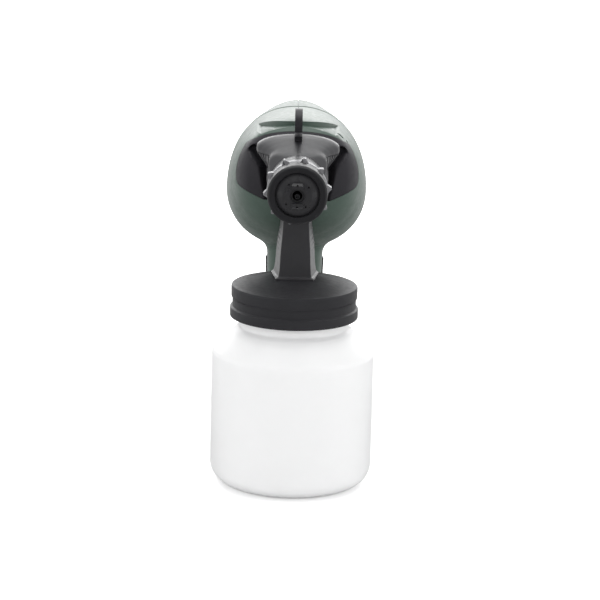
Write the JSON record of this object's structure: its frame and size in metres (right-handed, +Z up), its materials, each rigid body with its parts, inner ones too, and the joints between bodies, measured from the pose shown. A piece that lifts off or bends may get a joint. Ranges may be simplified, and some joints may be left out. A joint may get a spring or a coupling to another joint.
{
  "type": "hvlp paint spray gun",
  "caption": "Handheld HVLP paint spray gun: motor housing with handle and trigger, spray head with turning air cap, and a screw-on paint container below it.",
  "frame": {"origin": "centre of the container's flat base, on the surface that the gun stands on", "axes": "+Z up along the container's axis; the nozzle points to -Y and the motor housing to +Y; +X is to the right when the nozzle is seen from the front"},
  "size_m": [0.0996, 0.2283, 0.2334],
  "materials": {
    "black_plastic": "satin",
    "green_plastic": "fine matte texture",
    "grey_plastic": "satin",
    "dark_plastic": "matte",
    "container_plastic": "milky satin",
    "tube_plastic": "smooth",
    "seal_rubber": "matte",
    "grip_rubber": "matte",
    "packing": "smooth",
    "filter_foam": "open foam",
    "brass": "turned",
    "steel": "brushed",
    "zinc_steel": "zinc plated",
    "laminated_steel": "laminated",
    "ferrite": "sintered",
    "copper": "enamelled wire",
    "carbon": "pressed carbon",
    "bronze": "sintered",
    "red_plastic": "smooth"
  },
  "bodies": {
    "gun": {"spray_head": "black_plastic", "hanging_hook": "black_plastic", "nozzle_barrel": "black_plastic", "fluid_nozzle": "brass", "nozzle_seal": "packing", "needle_seal": "packing", "packing_nut": "zinc_steel", "spring_cap": "dark_plastic", "container_lid": "black_plastic", "lid_nut": "dark_plastic", "suction_tube": "tube_plastic", "front_mask": "black_plastic", "housing_left": "green_plastic", "housing_right": "green_plastic", "rear_cap_left": "green_plastic", "rear_cap_right": "green_plastic", "air_filter": "filter_foam", "fan_shroud": "dark_plastic", "motor_can": "zinc_steel", "magnets": "ferrite", "end_bell": "dark_plastic", "brushes": "carbon", "motor_bearings": "bronze", "motor_mount": "dark_plastic", "switch_body": "dark_plastic", "trigger_pin": "steel", "rocker_pin": "steel", "handle_grip": "grip_rubber", "cord_gland": "grip_rubber", "housing_screws": "zinc_steel"},
    "spray_cap": {"air_cap": "black_plastic", "pattern_ring": "grey_plastic", "cap_ring": "black_plastic"},
    "needle_group": {"needle": "steel", "needle_spring": "zinc_steel"},
    "rocker": {"rocker_lever": "dark_plastic"},
    "trigger": {"trigger": "black_plastic"},
    "flow_knob": {"flow_knob": "steel"},
    "switch_plunger": {"switch_plunger": "red_plastic"},
    "fan_rotor": {"fan": "dark_plastic", "motor_shaft": "steel", "rotor_core": "laminated_steel", "rotor_winding": "copper", "commutator": "copper"},
    "filter_cover": {"filter_cover": "black_plastic"},
    "container_seal": {"container_seal": "seal_rubber"},
    "container": {"container": "container_plastic"},
    "release_latch_left": {"release_latch_left": "black_plastic"},
    "release_latch_right": {"release_latch_right": "black_plastic"}
  },
  "joints": [
    {"name": "trigger_pull", "type": "hinge", "parent": "gun", "child": "trigger", "pos_m": [0, 0.076, 0.134], "axis": [1, 0, 0], "range_deg": [0, 12], "stiffness_Nm_per_rad": 0.1, "springref_deg": -5.73},
    {"name": "rocker_swing", "type": "hinge", "parent": "gun", "child": "rocker", "pos_m": [0, 0.046, 0.171], "axis": [1, 0, 0], "range_deg": [-12.5, 0]},
    {"name": "needle_slide", "type": "slide", "parent": "gun", "child": "needle_group", "axis": [0, 1, 0], "range_m": [0, 0.0047], "deforming": ["needle_spring"]},
    {"name": "switch_press", "type": "slide", "parent": "gun", "child": "switch_plunger", "axis": [0, 1, 0], "range_m": [0, 0.0042]},
    {"name": "flow_knob_turn", "type": "hinge", "parent": "trigger", "child": "flow_knob", "pos_m": [0, 0.068, 0.098], "axis": [0, 1, 0], "range_deg": [0, 270]},
    {"name": "spray_cap_turn", "type": "hinge", "parent": "gun", "child": "spray_cap", "pos_m": [0, -0.054, 0.1923], "axis": [0, 1, 0], "range_deg": [0, 90]},
    {"name": "fan_spin", "type": "hinge", "parent": "gun", "child": "fan_rotor", "pos_m": [0, 0.11, 0.18], "axis": [0, 1, 0], "continuous": true},
    {"name": "filter_cover_turn", "type": "hinge", "parent": "gun", "child": "filter_cover", "pos_m": [0, 0.152, 0.18], "axis": [0, 1, 0], "range_deg": [0, 30]},
    {"name": "seal_drop", "type": "slide", "parent": "gun", "child": "container_seal", "axis": [0, 0, -1], "range_m": [0, 0.00501]},
    {"name": "container_unscrew", "type": "hinge", "parent": "container_seal", "child": "container", "pos_m": [0, 0, 0.11], "axis": [0, 0, -1], "range_deg": [0, 450]},
    {"name": "latch_press_left", "type": "slide", "parent": "gun", "child": "release_latch_left", "axis": [1, 0, 0], "range_m": [0, 0.0018], "stiffness_N_per_m": 500, "springref_m": -0.002},
    {"name": "latch_press_right", "type": "slide", "parent": "gun", "child": "release_latch_right", "axis": [-1, 0, 0], "range_m": [0, 0.0018], "stiffness_N_per_m": 500, "springref_m": -0.002}
  ],
  "couplings": [
    {"joint": "rocker_swing", "follows": "trigger_pull", "ratio": -0.94737},
    {"joint": "needle_slide", "follows": "trigger_pull", "m_per_rad": 0.020179},
    {"joint": "switch_press", "follows": "trigger_pull", "m_per_rad": 0.016},
    {"joint": "seal_drop", "follows": "container_unscrew", "m_per_rad": 0.00063662}
  ]
}
